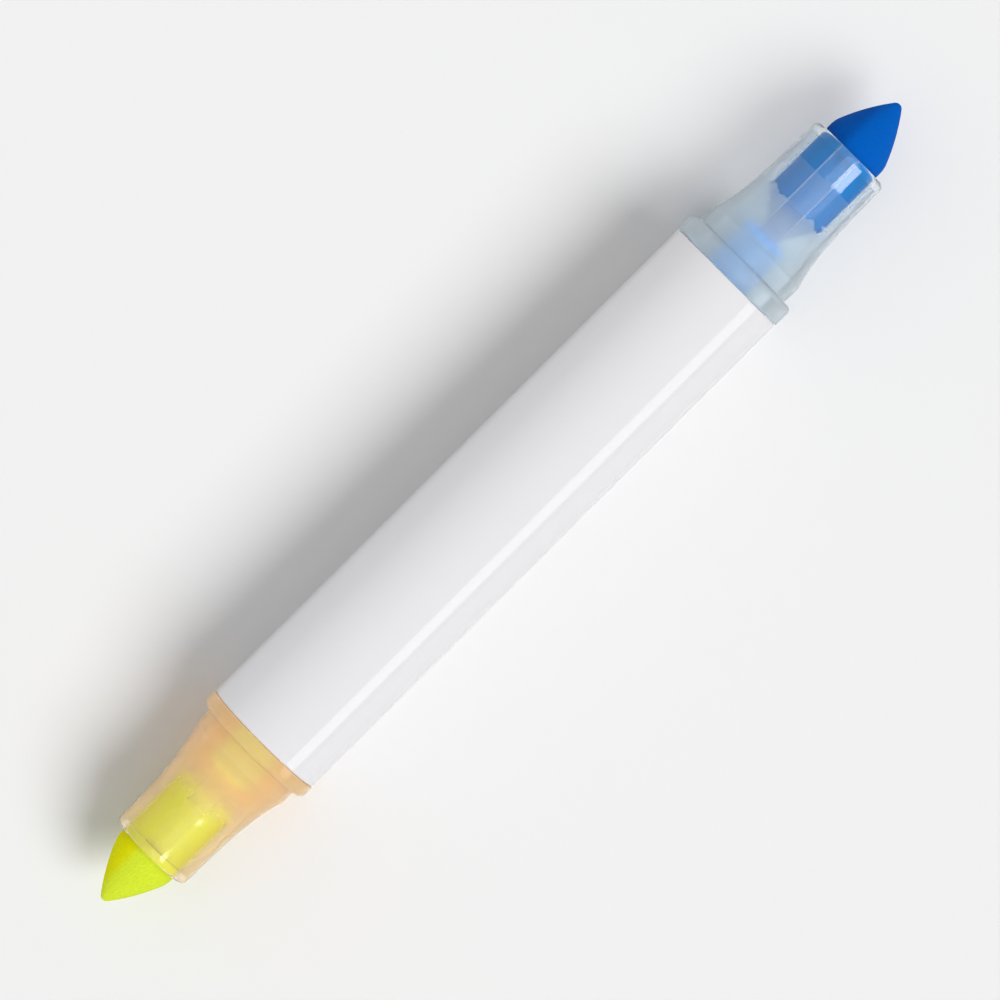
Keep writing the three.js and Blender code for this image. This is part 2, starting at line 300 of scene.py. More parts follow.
def depth(node, direction):
    """How far a node goes into the barrel, behind its end face."""
    low, high = box(node)
    return direction * (end_face(direction) - (low.x if direction > 0 else high.x))


# ---------------------------------------------------------------- modelling


def start_clean():
    if bpy.context.object and bpy.context.object.mode != "OBJECT":
        bpy.ops.object.mode_set(mode="OBJECT")
    bpy.ops.object.select_all(action="DESELECT")


def choose(piece):
    """Makes a piece active, and the only one selected."""
    start_clean()
    bpy.context.view_layer.objects.active = piece
    piece.select_set(True)


def arc(along, radius, size, turn_from, turn_to, steps=ARC_STEPS):
    """Stations round an arc. A turn of 0 points away from the axis, and a quarter turn points outwards."""
    turns = [turn_from + (turn_to - turn_from) * i / steps for i in range(steps + 1)]
    return [(along + size * math.sin(turn), radius + size * math.cos(turn)) for turn in turns]


def cubic(stations, steps):
    """Stations along the cubic curve with these four handles."""
    made = []
    for i in range(steps + 1):
        t = i / steps
        weights = ((1 - t) ** 3, 3 * t * (1 - t) ** 2, 3 * t * t * (1 - t), t ** 3)
        made.append(tuple(sum(w * s[k] for w, s in zip(weights, stations)) for k in (0, 1)))
    return made


def turned(name, stations, direction, origin, sides):
    """A turned piece. A ring is drawn at the first station and extruded from each to the next.

    Stations are (along, radius). A profile that comes back to its first station makes a hollow piece.
    Any other is closed with a flat face at each end, or with a point where its last radius is 0.
    """
    start_clean()
    hollow = stations[0] == stations[-1]
    axis = pen_axis()
    along, radius = stations[0]
    place = Vector((origin + direction * along, 0, axis))
    bpy.ops.mesh.primitive_circle_add(
        vertices=sides, radius=radius, fill_type="NOTHING" if hollow else "NGON",
        location=place, rotation=(0, math.pi / 2, 0),
    )
    piece = bpy.context.object
    piece.name = piece.data.name = name
    bpy.ops.object.mode_set(mode="EDIT")
    bpy.ops.mesh.select_all(action="SELECT")
    for next_along, next_radius in stations[1:]:
        bpy.ops.mesh.extrude_region_move(
            TRANSFORM_OT_translate={"value": (direction * (next_along - along), 0, 0)}
        )
        place.x = origin + direction * next_along
        if next_radius == 0:
            bpy.ops.mesh.merge(type="CENTER")
            break
        grow = next_radius / radius
        if grow != 1:
            bpy.ops.transform.resize(value=(1, grow, grow), center_override=place)
        along, radius = next_along, next_radius
    bpy.ops.mesh.select_all(action="SELECT")
    bpy.ops.mesh.remove_doubles(threshold=WELD_DISTANCE)
    bpy.ops.mesh.normals_make_consistent(inside=False)
    bpy.ops.object.mode_set(mode="OBJECT")
    bpy.ops.object.transform_apply(location=True, rotation=True, scale=True)
    return piece


def select_faces(piece, wanted):
    """In edit mode, selects only the faces for which wanted(face centre, face normal) holds."""
    bpy.ops.mesh.select_all(action="DESELECT")
    mesh = bmesh.from_edit_mesh(piece.data)
    for face in mesh.faces:
        face.select_set(wanted(face.calc_center_median(), face.normal))
    mesh.select_flush_mode()
    bmesh.update_edit_mesh(piece.data)


def raise_ribs(piece, count, x_range, bore, width, height, edge):
    """Ribs along a bore: strips of its wall extruded straight towards the axis, with softened edges."""
    axis = pen_axis()
    low, high = sorted(x_range)
    for i in range(count):
        turn = 2 * math.pi * i / count
        up = Vector((0, math.sin(turn), math.cos(turn)))
        across = Vector((0, math.cos(turn), -math.sin(turn)))

        def on_strip(centre, normal):
            arm = Vector((0, centre.y, centre.z - axis))
            return (
                low < centre.x < high
                and abs(arm.length - bore) < 0.02 * bore
                and arm.dot(up) > 0
                and abs(arm.dot(across)) < width / 2
                and normal.dot(arm) < 0
            )

        choose(piece)
        bpy.ops.object.mode_set(mode="EDIT")
        select_faces(piece, on_strip)
        bpy.ops.mesh.extrude_region_move(TRANSFORM_OT_translate={"value": -height * up})
        bpy.ops.mesh.region_to_loop()
        bpy.ops.mesh.bevel(offset=edge, segments=2, affect="EDGES")
        bpy.ops.object.mode_set(mode="OBJECT")


def finish_piece(piece, body, slot_name, material, *nodes):
    """Smooths a piece, gives it its material, and ties it to the frame."""
    choose(piece)
    bpy.ops.object.shade_smooth_by_angle(angle=SMOOTH_ANGLE)
    bpy.ops.object.modifier_add(type="WEIGHTED_NORMAL")
    piece.modifiers[-1].keep_sharp = True
    bpy.ops.object.modifier_apply(modifier=piece.modifiers[-1].name)
    piece.data.materials.clear()
    piece.data.materials.append(material)
    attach(piece, body)
    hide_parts(*nodes)


# ---------------------------------------------------------------- materials


def add_node(tree, kind, settings=(), **links):
    """Adds a node, sets its properties and sockets, and links sockets to others' outputs.

    settings maps a property's name, or a socket's name or number, to its value. A link is named for its
    socket, with _ for each space, or input and the socket's number.
    """
    made = tree.nodes.new(kind)
    for key, value in dict(settings).items():
        if isinstance(key, int) or key in made.inputs:
            made.inputs[key].default_value = value
        else:
            setattr(made, key, value)
    for key, source in links.items():
        name = key.replace("_", " ")
        socket = made.inputs[int(name[5:])] if name.startswith("input") else made.inputs[name]
        tree.links.new(source, socket)
    return made


def new_material(name):
    """An empty material with its Principled shader already on the output."""
    material = bpy.data.materials.new(name)
    material.use_nodes = True
    tree = material.node_tree
    tree.nodes.clear()
    shader = add_node(tree, "ShaderNodeBsdfPrincipled")
    add_node(tree, "ShaderNodeOutputMaterial", Surface=shader.outputs["BSDF"])
    return material, tree, shader


def place_in_mm(tree, x=0.0, direction=1):
    """Object coordinates in millimetres from a point on the pen's axis, with X along a direction."""
    coordinates = add_node(tree, "ShaderNodeTexCoord")
    shift = Vector((-direction * x, 0, -pen_axis())) / MM
    return add_node(
        tree, "ShaderNodeMapping", {"Location": shift, "Scale": (direction / MM, 1 / MM, 1 / MM)},
        Vector=coordinates.outputs["Object"],
    ).outputs["Vector"]


def glossy_white_polypropylene(colours):
    """Injection-moulded white polypropylene: bright and a little milky, with a clear sheen that
    shows the lamps' edges and the faint waviness that a mould leaves."""
    material, tree, shader = new_material("glossy_white_polypropylene")
    place = place_in_mm(tree)
    cloud = add_node(tree, "ShaderNodeTexNoise", {"Scale": 0.12, "Detail": 2.0}, Vector=place)
    tone = add_node(
        tree, "ShaderNodeMix", {"data_type": "RGBA", 6: (*(0.985 * c for c in colours.barrel), 1),
                                7: (*colours.barrel, 1)},
        Factor=cloud.outputs["Fac"],
    )
    tree.links.new(tone.outputs[2], shader.inputs["Base Color"])
    gloss = add_node(
        tree, "ShaderNodeMapRange", {"To Min": 0.07, "To Max": 0.1}, Value=cloud.outputs["Fac"],
    )
    tree.links.new(gloss.outputs["Result"], shader.inputs["Roughness"])
    shader.inputs["IOR"].default_value = POLYPROPYLENE_IOR
    return material


def bonded_fibre(name, ink, painted_shade, soaked_and_lit, pale, glow, glow_fades, end, direction, dry_from, pale_until):
    """Porous bonded polyester full of ink: quite matt, with fine fibres along it and small darker pores.
    The part inside the holder has never dried, so its colour is deeper; it is also painted brighter than
    the dry part, and may be given a painted glow, both standing in for light that the walls round it take
    away. For the fluorescent yellow ink the glow is partly its own fluorescence. glow_fades says whether
    the glow stops where the dry part starts. Outside, a painted shade darkens the +Y side, away from the
    key light. The thin tail holds little ink, and is pale."""
    material, tree, shader = new_material(name)
    place = place_in_mm(tree, end, direction)
    pores = add_node(tree, "ShaderNodeTexNoise", {"Scale": 5.0, "Detail": 2.0}, Vector=place)
    along = add_node(tree, "ShaderNodeMapping", {"Scale": (0.4, 2.0, 2.0)}, Vector=place)
    fibres = add_node(
        tree, "ShaderNodeTexNoise", {"Scale": 3.0, "Detail": 3.0, "Roughness": 0.6},
        Vector=along.outputs["Vector"],
    )
    weave = add_node(
        tree, "ShaderNodeMath", {"operation": "MULTIPLY"},
        input0=pores.outputs["Fac"], input1=fibres.outputs["Fac"],
    ).outputs[0]
    tone = add_node(
        tree, "ShaderNodeMapRange", {"From Min": 0.12, "From Max": 0.38, "To Min": 0.9, "To Max": 1.04},
        Value=weave,
    ).outputs["Result"]
    parts = add_node(tree, "ShaderNodeSeparateXYZ", Vector=place).outputs
    dry = add_node(
        tree, "ShaderNodeMapRange",
        {"interpolation_type": "SMOOTHSTEP", "From Min": dry_from + DRY_EDGE[0],
         "From Max": dry_from + DRY_EDGE[1]},
        Value=parts["X"],
    ).outputs["Result"]
    # Painted shade: the nib's outside turns darker towards +Y, the side away from the key light.
    side = add_node(
        tree, "ShaderNodeMapRange",
        {"interpolation_type": "SMOOTHSTEP", "From Min": PAINTED_SHADE_SIDE[0], "From Max": PAINTED_SHADE_SIDE[1]},
        Value=parts["Y"],
    ).outputs["Result"]
    outside = add_node(
        tree, "ShaderNodeMix", {"data_type": "RGBA", 6: (*ink, 1), 7: (*painted_shade, 1)}, Factor=side,
    ).outputs[2]
    full = add_node(
        tree, "ShaderNodeMapRange",
        {"interpolation_type": "SMOOTHSTEP", "From Min": pale_until + FULL_EDGE[0],
         "From Max": pale_until + FULL_EDGE[1]},
        Value=parts["X"],
    ).outputs["Result"]
    # The soaked colour is wet ink, and is also painted brighter, standing in for light that the holder's
    # walls take away.
    inside = add_node(
        tree, "ShaderNodeMix", {"data_type": "RGBA", 6: (*pale, 1), 7: (*soaked_and_lit, 1)}, Factor=full,
    ).outputs[2]
    colour_here = add_node(
        tree, "ShaderNodeMix", {"data_type": "RGBA"}, Factor=dry, input6=inside, input7=outside,
    ).outputs[2]
    # Painted glow: emission standing in for light that the walls round the fibre take away, and for the
    # yellow ink partly its fluorescence.
    shader.inputs["Emission Color"].default_value = (*soaked_and_lit, 1)
    if glow_fades:
        glowing = add_node(tree, "ShaderNodeMapRange", {"To Min": glow, "To Max": 0.0}, Value=dry)
        tree.links.new(glowing.outputs["Result"], shader.inputs["Emission Strength"])
    else:
        shader.inputs["Emission Strength"].default_value = glow
    shaded = add_node(tree, "ShaderNodeVectorMath", {"operation": "SCALE"}, Vector=colour_here, Scale=tone)
    tree.links.new(shaded.outputs["Vector"], shader.inputs["Base Color"])
    bump = add_node(tree, "ShaderNodeBump", {"Strength": 0.2, "Distance": 0.03 * MM}, Height=weave)
    tree.links.new(bump.outputs["Normal"], shader.inputs["Normal"])
    shader.inputs["Roughness"].default_value = 0.9
    shader.inputs["Specular IOR Level"].default_value = 0.08
    return material


def frosted_polypropylene(name, look, end, direction):
    """Moulded natural polypropylene: a glossy skin over milky plastic, and an inner wall with a rough
    texture that blurs what is behind it. Where ink has wetted that texture, near the mouth, it turns
    clear and shows the nib, in patches with rounded edges. The grip ribs show as paler bands with
    bright sides. The dry wall also has a faint painted glow, an emission that stands in for the light
    that it carries from the ink."""
    material, tree, shader = new_material(name)
    place = place_in_mm(tree, end, direction)
    parts = add_node(tree, "ShaderNodeSeparateXYZ", Vector=place).outputs
    wall = add_node(tree, "ShaderNodeAttribute", {"attribute_name": "inner_wall"}).outputs["Fac"]

    # How far the ink has crept: 0 where the wall is dry, 1 where it is wet.
    flattened = add_node(tree, "ShaderNodeMapping", {"Scale": (1, 1, 0)}, Vector=place)
    blots = add_node(
        tree, "ShaderNodeTexNoise", {"Scale": look.blot_scale, "Detail": 2.5, "Roughness": 0.5},
        Vector=flattened.outputs["Vector"],
    )
    spread = add_node(
        tree, "ShaderNodeMath",
        {"operation": "MULTIPLY_ADD", 1: look.blot_swing, 2: -0.5 * look.blot_swing},
        input0=blots.outputs["Fac"],
    )
    reached = add_node(
        tree, "ShaderNodeMapRange",
        {"From Min": look.wet_start, "From Max": look.wet_full, "To Min": -0.2, "To Max": 1.2},
        Value=parts["X"],
    )
    level = add_node(
        tree, "ShaderNodeMath", {"operation": "ADD"}, input0=reached.outputs["Result"],
        input1=spread.outputs[0],
    )
    side = add_node(tree, "ShaderNodeMath", {"operation": "ABSOLUTE"}, input0=parts["Y"])
    ragged = add_node(
        tree, "ShaderNodeMath", {"operation": "MULTIPLY_ADD", 1: 0.8}, input0=spread.outputs[0],
        input2=side.outputs[0],
    )
    off_side = add_node(
        tree, "ShaderNodeMapRange",
        {"From Min": look.wet_half - look.side_blur, "From Max": look.wet_half + look.side_blur,
         "To Min": 1.0, "To Max": 0.0},
        Value=ragged.outputs[0],
    )
    crept = add_node(
        tree, "ShaderNodeMapRange",
        {"interpolation_type": "SMOOTHSTEP", "From Min": 0.5 - look.wet_blur,
         "From Max": 0.5 + look.wet_blur},
        Value=level.outputs[0],
    )
    wet = add_node(
        tree, "ShaderNodeMath", {"operation": "MULTIPLY"}, input0=crept.outputs["Result"],
        input1=off_side.outputs["Result"],
    ).outputs[0]

    # The share of light that the wall scatters.
    height = add_node(tree, "ShaderNodeMath", {"operation": "ABSOLUTE"}, input0=parts["Z"])
    across = add_node(
        tree, "ShaderNodeMath", {"operation": "MINIMUM"}, input0=side.outputs[0],
        input1=height.outputs[0],
    )
    rib = add_node(
        tree, "ShaderNodeMapRange",
        {"From Min": look.rib_half - RIB_EDGE_BLUR, "From Max": look.rib_half + RIB_EDGE_BLUR,
         "To Min": 1.0, "To Max": 0.0},
        Value=across.outputs[0],
    )
    rib_fade = add_node(
        tree, "ShaderNodeMapRange",
        {"interpolation_type": "SMOOTHSTEP", "From Min": look.rib_start, "From Max": look.wet_full},
        Value=parts["X"],
    )
    patch_milk = add_node(
        tree, "ShaderNodeMapRange",
        {"From Min": look.front_start - FRONT_BLUR, "From Max": look.front_start + FRONT_BLUR,
         "To Min": look.milk_wet, "To Max": look.milk_front},
        Value=parts["X"],
    )
    beside = add_node(
        tree, "ShaderNodeMix", {"data_type": "FLOAT", 2: look.milk_dry}, Factor=wet,
        B=patch_milk.outputs["Result"],
    )
    rib_milk = add_node(
        tree, "ShaderNodeMath", {"operation": "ADD", 1: look.milk_rib},
        input0=patch_milk.outputs["Result"],
    )
    band = add_node(
        tree, "ShaderNodeMix", {"data_type": "FLOAT", 2: look.milk_dry},
        Factor=rib_fade.outputs["Result"], B=rib_milk.outputs[0],
    )
    plain_milk = add_node(
        tree, "ShaderNodeMix", {"data_type": "FLOAT"}, Factor=rib.outputs["Result"],
        A=beside.outputs[0], B=band.outputs[0],
    )
    rib_side = add_node(
        tree, "ShaderNodeMath", {"operation": "COMPARE", 1: look.rib_half, 2: RIB_SIDE_HALF},
        input0=across.outputs[0],
    )
    side_milk = add_node(
        tree, "ShaderNodeMapRange", {"To Max": look.milk_side}, Value=rib_fade.outputs["Result"],
    )
    milk = add_node(
        tree, "ShaderNodeMath", {"operation": "MULTIPLY_ADD"}, input0=rib_side.outputs[0],
        input1=side_milk.outputs["Result"], input2=plain_milk.outputs[0],
    ).outputs[0]
    passing = add_node(tree, "ShaderNodeMath", {"operation": "SUBTRACT", 0: 1.0}, input1=milk)
    tree.links.new(passing.outputs[0], shader.inputs["Transmission Weight"])

    # The wetter the inner wall, the smoother and the less tinted it is.
    dryness = add_node(
        tree, "ShaderNodeMapRange", {"From Min": 0.0, "From Max": look.milk_dry}, Value=milk,
    ).outputs["Result"]
    texture = add_node(
        tree, "ShaderNodeMapRange", {"To Min": look.wet_rough, "To Max": look.inner_rough}, Value=dryness,
    )
    roughness = add_node(
        tree, "ShaderNodeMix", {"data_type": "FLOAT", 2: 0.05}, Factor=wall, B=texture.outputs["Result"],
    )
    tree.links.new(roughness.outputs[0], shader.inputs["Roughness"])
    cloud = add_node(tree, "ShaderNodeTexNoise", {"Scale": 0.5, "Detail": 3.0}, Vector=place)
    skin = add_node(
        tree, "ShaderNodeMix",
        {"data_type": "RGBA", 6: (*(0.95 * c for c in look.skin), 1), 7: (*look.skin, 1)},
        Factor=cloud.outputs["Fac"],
    )
    tone = add_node(
        tree, "ShaderNodeMix", {"data_type": "RGBA", 6: (*look.clear_tint, 1)}, Factor=dryness,
        input7=skin.outputs[2],
    )
    tree.links.new(tone.outputs[2], shader.inputs["Base Color"])
    shader.inputs["IOR"].default_value = POLYPROPYLENE_IOR
    shader.inputs["Specular IOR Level"].default_value = 0.22
    # Painted glow: the dry wall's emission stands in for the light that it carries from the ink.
    shader.inputs["Emission Color"].default_value = (*look.glow_colour, 1)
    glowing = add_node(tree, "ShaderNodeMapRange", {"To Max": look.glow}, Value=dryness)
    tree.links.new(glowing.outputs["Result"], shader.inputs["Emission Strength"])
    shader.inputs["Subsurface Weight"].default_value = 1.0
    shader.inputs["Subsurface Radius"].default_value = (1, 1, 1)
    shader.inputs["Subsurface Scale"].default_value = 1.0 * MM
    return material


def clear_film(colours):
    """Thin clear polypropylene film: nearly invisible but for its gloss and fine wrinkles along the rod."""
    material, tree, shader = new_material("clear_film")
    place = place_in_mm(tree)
    wrinkles = add_node(tree, "ShaderNodeTexNoise", {"Scale": 0.8, "Detail": 2.0}, Vector=place)
    rough = add_node(
        tree, "ShaderNodeMapRange", {"To Min": 0.1, "To Max": 0.25}, Value=wrinkles.outputs["Fac"],
    )
    tree.links.new(rough.outputs["Result"], shader.inputs["Roughness"])
    shader.inputs["Base Color"].default_value = (*colours.film, 1)
    shader.inputs["Transmission Weight"].default_value = 0.9
    shader.inputs["IOR"].default_value = POLYPROPYLENE_IOR
    return material


def seamless_paper(colours):
    """Pale seamless paper: matt, even, with the faintest tooth."""
    material, tree, shader = new_material("seamless_paper")
    place = place_in_mm(tree)
    tooth = add_node(tree, "ShaderNodeTexNoise", {"Scale": 2.0, "Detail": 3.0}, Vector=place)
    tone = add_node(
        tree, "ShaderNodeMix", {"data_type": "RGBA", 6: (*(0.997 * c for c in colours.floor), 1),
                                7: (*colours.floor, 1)},
        Factor=tooth.outputs["Fac"],
    )
    tree.links.new(tone.outputs[2], shader.inputs["Base Color"])
    shader.inputs["Roughness"].default_value = 0.95
    shader.inputs["Specular IOR Level"].default_value = 0.1
    return material


# ---------------------------------------------------------------- operators


class PEN_OT_barrel(bpy.types.Operator):
    """Turn the white barrel with its two bores, the wall between them and the fins inside."""

    bl_idname = "pen.barrel"
    bl_label = "Barrel"
    bl_options = {"REGISTER", "UNDO"}

    def execute(self, context):
        sizes, colours = context.scene.pen_sizes, context.scene.pen_colours
        outer = ring_radius("barrel")
        bore = outer - sizes.barrel_wall
        half, edge, web = barrel_half(), sizes.barrel_edge, sizes.web / 2
        middle = (end_face(1) + end_face(-1)) / 2
        quarter = math.pi / 2
        fin_end = half - depth("blue_nib_holder", 1) - sizes.fin_setback
        right_mouth = arc(half - edge, bore + edge, edge, 2 * quarter, quarter)
        right_rim = arc(half - edge, outer - edge, edge, quarter, 0)
        stations = [
            (web, bore),
            (fin_end, bore),
            *right_mouth,
            *right_rim,
            *[(-along, radius) for along, radius in reversed(right_rim)],
            *[(-along, radius) for along, radius in reversed(right_mouth)],
            (-fin_end, bore),
            (-web, bore),
        ]
        piece = turned("pen_barrel", stations, 1, middle, sizes.sides)
        choose(piece)
        bpy.ops.object.mode_set(mode="EDIT")
        bpy.ops.mesh.select_all(action="DESELECT")
        bpy.ops.mesh.select_non_manifold()
        bpy.ops.mesh.edge_face_add()
        bpy.ops.mesh.select_all(action="SELECT")
        bpy.ops.mesh.normals_make_consistent(inside=False)
        bpy.ops.object.mode_set(mode="OBJECT")
        height = bore - ring_radius("blue_reservoir_film") - sizes.fin_gap
        for side in (1, -1):
            raise_ribs(
                piece, sizes.fin_count, (middle + side * web, middle + side * fin_end), bore,
                sizes.fin_width, height, FIN_EDGE,
            )
        finish_piece(piece, "barrel", "barrel", glossy_white_polypropylene(colours), "barrel")
        return {"FINISHED"}


class PEN_OT_nib_holders(bpy.types.Operator):
    """Turn the two frosted nib holders, with the lip and the ribs that grip a nib."""

    bl_idname = "pen.nib_holders"
    bl_label = "Nib Holders"
    bl_options = {"REGISTER", "UNDO"}

    def execute(self, context):
        sizes = context.scene.pen_sizes
        for name, direction in ENDS.items():
            self.holder(name, direction, sizes, getattr(context.scene, f"pen_{name}_look"))
        return {"FINISHED"}

    def holder(self, name, direction, sizes, look):
        node = f"{name}_nib_holder"
        quarter = math.pi / 2
        front = reach(node, direction)
        back = -depth(node, direction)
        flange = ring_radius(node)
        collar = flange - sizes.flange_step
        thickness = getattr(sizes, f"flange_{name}")
        collar_end = getattr(sizes, f"collar_{name}")
        mouth = ring_radius(f"{name}_nib") + sizes.nib_clearance
        chamber = mouth + sizes.rib_height
        nozzle = chamber + sizes.nozzle_wall
        flare_radius = nozzle + sizes.nozzle_taper
        drop = collar - flare_radius
        spigot = ring_radius("barrel") - sizes.barrel_wall - sizes.spigot_clearance
        bore = spigot - sizes.spigot_wall
        chamfer = sizes.spigot_chamfer
        rib_start = collar_end + sizes.rib_setback
        round_off = sizes.nozzle_rounding
        inside_front = front - sizes.lip
        soft = EDGE_SOFTENING
        outside = [
            (back, spigot - chamfer),
            (back + 2 * chamfer, spigot),
            (sizes.seat_gap, spigot),
            *arc(sizes.seat_gap + soft, flange - soft, soft, -quarter, 0, SOFT_STEPS),
            *arc(thickness - sizes.shoulder, flange - sizes.shoulder, sizes.shoulder, 0, quarter),
            *arc(thickness + soft, collar + soft, soft, -quarter, -2 * quarter, SOFT_STEPS),
            *cubic(
                [
                    (collar_end, collar),
                    (collar_end + sizes.flare / 6, collar - drop / 2),
                    (collar_end + sizes.flare / 2.2, flare_radius + drop / 9),
                    (collar_end + sizes.flare, flare_radius),
                ],
                FLARE_STEPS,
            ),
            *arc(front - round_off, nozzle - round_off, round_off, 0, quarter),
        ]
        inside = [
            *arc(front - soft, mouth + soft, soft, quarter, 2 * quarter, SOFT_STEPS),
            (inside_front, mouth),
            (inside_front, chamber),
            (rib_start, chamber),
            (collar_end, bore),
            (back, bore),
            (back, spigot - chamfer),
        ]
        origin = end_face(direction)
        piece = turned(f"{name}_holder", outside + inside, direction, origin, sizes.sides)
        raise_ribs(
            piece, sizes.rib_count, (origin + direction * rib_start, origin + direction * inside_front),
            chamber, sizes.rib_width, sizes.rib_height, GRIP_RIB_EDGE,
        )
        self.mark_inner_wall(piece, chamber, bore, origin, direction, inside_front)
        material = frosted_polypropylene(f"frosted_polypropylene_{name}", look, origin, direction)
        finish_piece(piece, node, node, material, node)

    def mark_inner_wall(self, piece, chamber, bore, origin, direction, inside_front):
        """An attribute that is 1 on the wall of the chamber and the bore, and 0 on the outer skin."""
        axis = pen_axis()
        mark = piece.data.attributes.new("inner_wall", "FLOAT", "FACE")
        for face in piece.data.polygons:
            arm = Vector((0, face.center.y, face.center.z - axis))
            along = direction * (face.center.x - origin)
            inner = face.normal.dot(arm) < 0 or arm.length < chamber * 1.01
            mark.data[face.index].value = float(inner and along < inside_front + WELD_DISTANCE)


class PEN_OT_nibs(bpy.types.Operator):
    """Turn the two felt nibs, each a bullet with a tail that reaches into its reservoir."""

    bl_idname = "pen.nibs"
    bl_label = "Nibs"
    bl_options = {"REGISTER", "UNDO"}

    def execute(self, context):
        sizes, colours = context.scene.pen_sizes, context.scene.pen_colours
        for name, direction in ENDS.items():
            node = f"{name}_nib"
            radius = ring_radius(node)
            mouth = reach(f"{name}_nib_holder", direction)
            tip = reach(node, direction)
            ball, shoulder = sizes.nib_tip, sizes.nib_shoulder
            start, end = sizes.nib_shoulder_slope, sizes.nib_tip_slope
            drop = radius - shoulder * (1 - math.cos(start)) - ball * math.cos(end)
            flank = drop / (math.cos(start) - math.cos(end))
            flank_radius = (ball - flank) * math.cos(end)
            flank_along = tip - ball + (ball - flank) * math.sin(end)
            shoulder_along = flank_along + (flank - shoulder) * math.sin(start)
            body_back = mouth - getattr(sizes, f"nib_body_{name}")
            rod_front = reach(f"{name}_reservoir", direction)
            tail_end = rod_front - sizes.tail_depth
            cone_back = max(body_back - sizes.nib_back_cone, rod_front + sizes.cone_gap)
            stations = [
                (tail_end, sizes.tail_point_radius),
                (tail_end + sizes.tail_point_length, sizes.tail_radius),
                (cone_back, sizes.tail_radius),
                (body_back, radius),
                (mouth, radius),
                *arc(shoulder_along, radius - shoulder, shoulder, 0, start),
                *arc(flank_along, flank_radius, flank, start, end, FLANK_STEPS)[1:-1],
                *arc(tip - ball, 0, ball, end, math.pi / 2)[:-1],
                (tip, 0),
            ]
            piece = turned(f"{name}_felt_nib", stations, direction, end_face(direction), sizes.sides)
            material = bonded_fibre(
                f"bonded_fibre_{name}", getattr(colours, f"nib_{name}"), getattr(colours, f"worn_{name}"),
                getattr(colours, f"soaked_{name}"), getattr(colours, f"tail_{name}"),
                getattr(colours, f"glow_{name}"), getattr(colours, f"glow_{name}") > 0,
                end_face(direction), direction, mouth / MM, body_back / MM,
            )
            finish_piece(piece, node, node, material, node)
        return {"FINISHED"}


class PEN_OT_reservoirs(bpy.types.Operator):
    """Turn the two fibre reservoirs and the clear film wrapped round each."""

    bl_idname = "pen.reservoirs"
    bl_label = "Reservoirs"
    bl_options = {"REGISTER", "UNDO"}

    def execute(self, context):
        sizes, colours = context.scene.pen_sizes, context.scene.pen_colours
        film_material = clear_film(colours)
        quarter = math.pi / 2
        for name, direction in ENDS.items():
            node = f"{name}_reservoir"
            film = f"{name}_reservoir_film"
            radius, film_radius = ring_radius(node), ring_radius(film)
            film_bore = film_radius - sizes.film_thickness
            front, film_front = reach(node, direction), reach(film, direction)
            back = sizes.web / 2 + sizes.seat_gap - barrel_half()
            hole = sizes.tail_radius + sizes.tail_clearance
            hole_end = front - sizes.tail_depth - sizes.tail_clearance
            rounding = sizes.reservoir_rounding
            origin = end_face(direction)
            rod = turned(
                f"{name}_ink_rod",
                [
                    (hole_end, hole),
                    (front, hole),
                    *reversed(arc(front - rounding, radius - rounding, rounding, 0, quarter)),
                    (back, radius),
                    (back, 0),
                ],
                direction, origin, sizes.sides,
            )
            ink = getattr(colours, f"rod_{name}")
            material = bonded_fibre(
                f"fibre_rod_{name}", ink, ink, ink, ink, getattr(colours, f"rod_glow_{name}"), False,
                origin, direction, front / MM + 1, back / MM,
            )
            finish_piece(rod, "barrel", node, material, node)
            wrap = turned(
                f"{name}_ink_rod_film",
                [
                    (back, film_bore),
                    (back, film_radius),
                    (film_front, film_radius),
                    (film_front, film_bore),
                    (back, film_bore),
                ],
                direction, origin, sizes.sides,
            )
            finish_piece(wrap, "barrel", "reservoir_film", film_material, film)
        return {"FINISHED"}


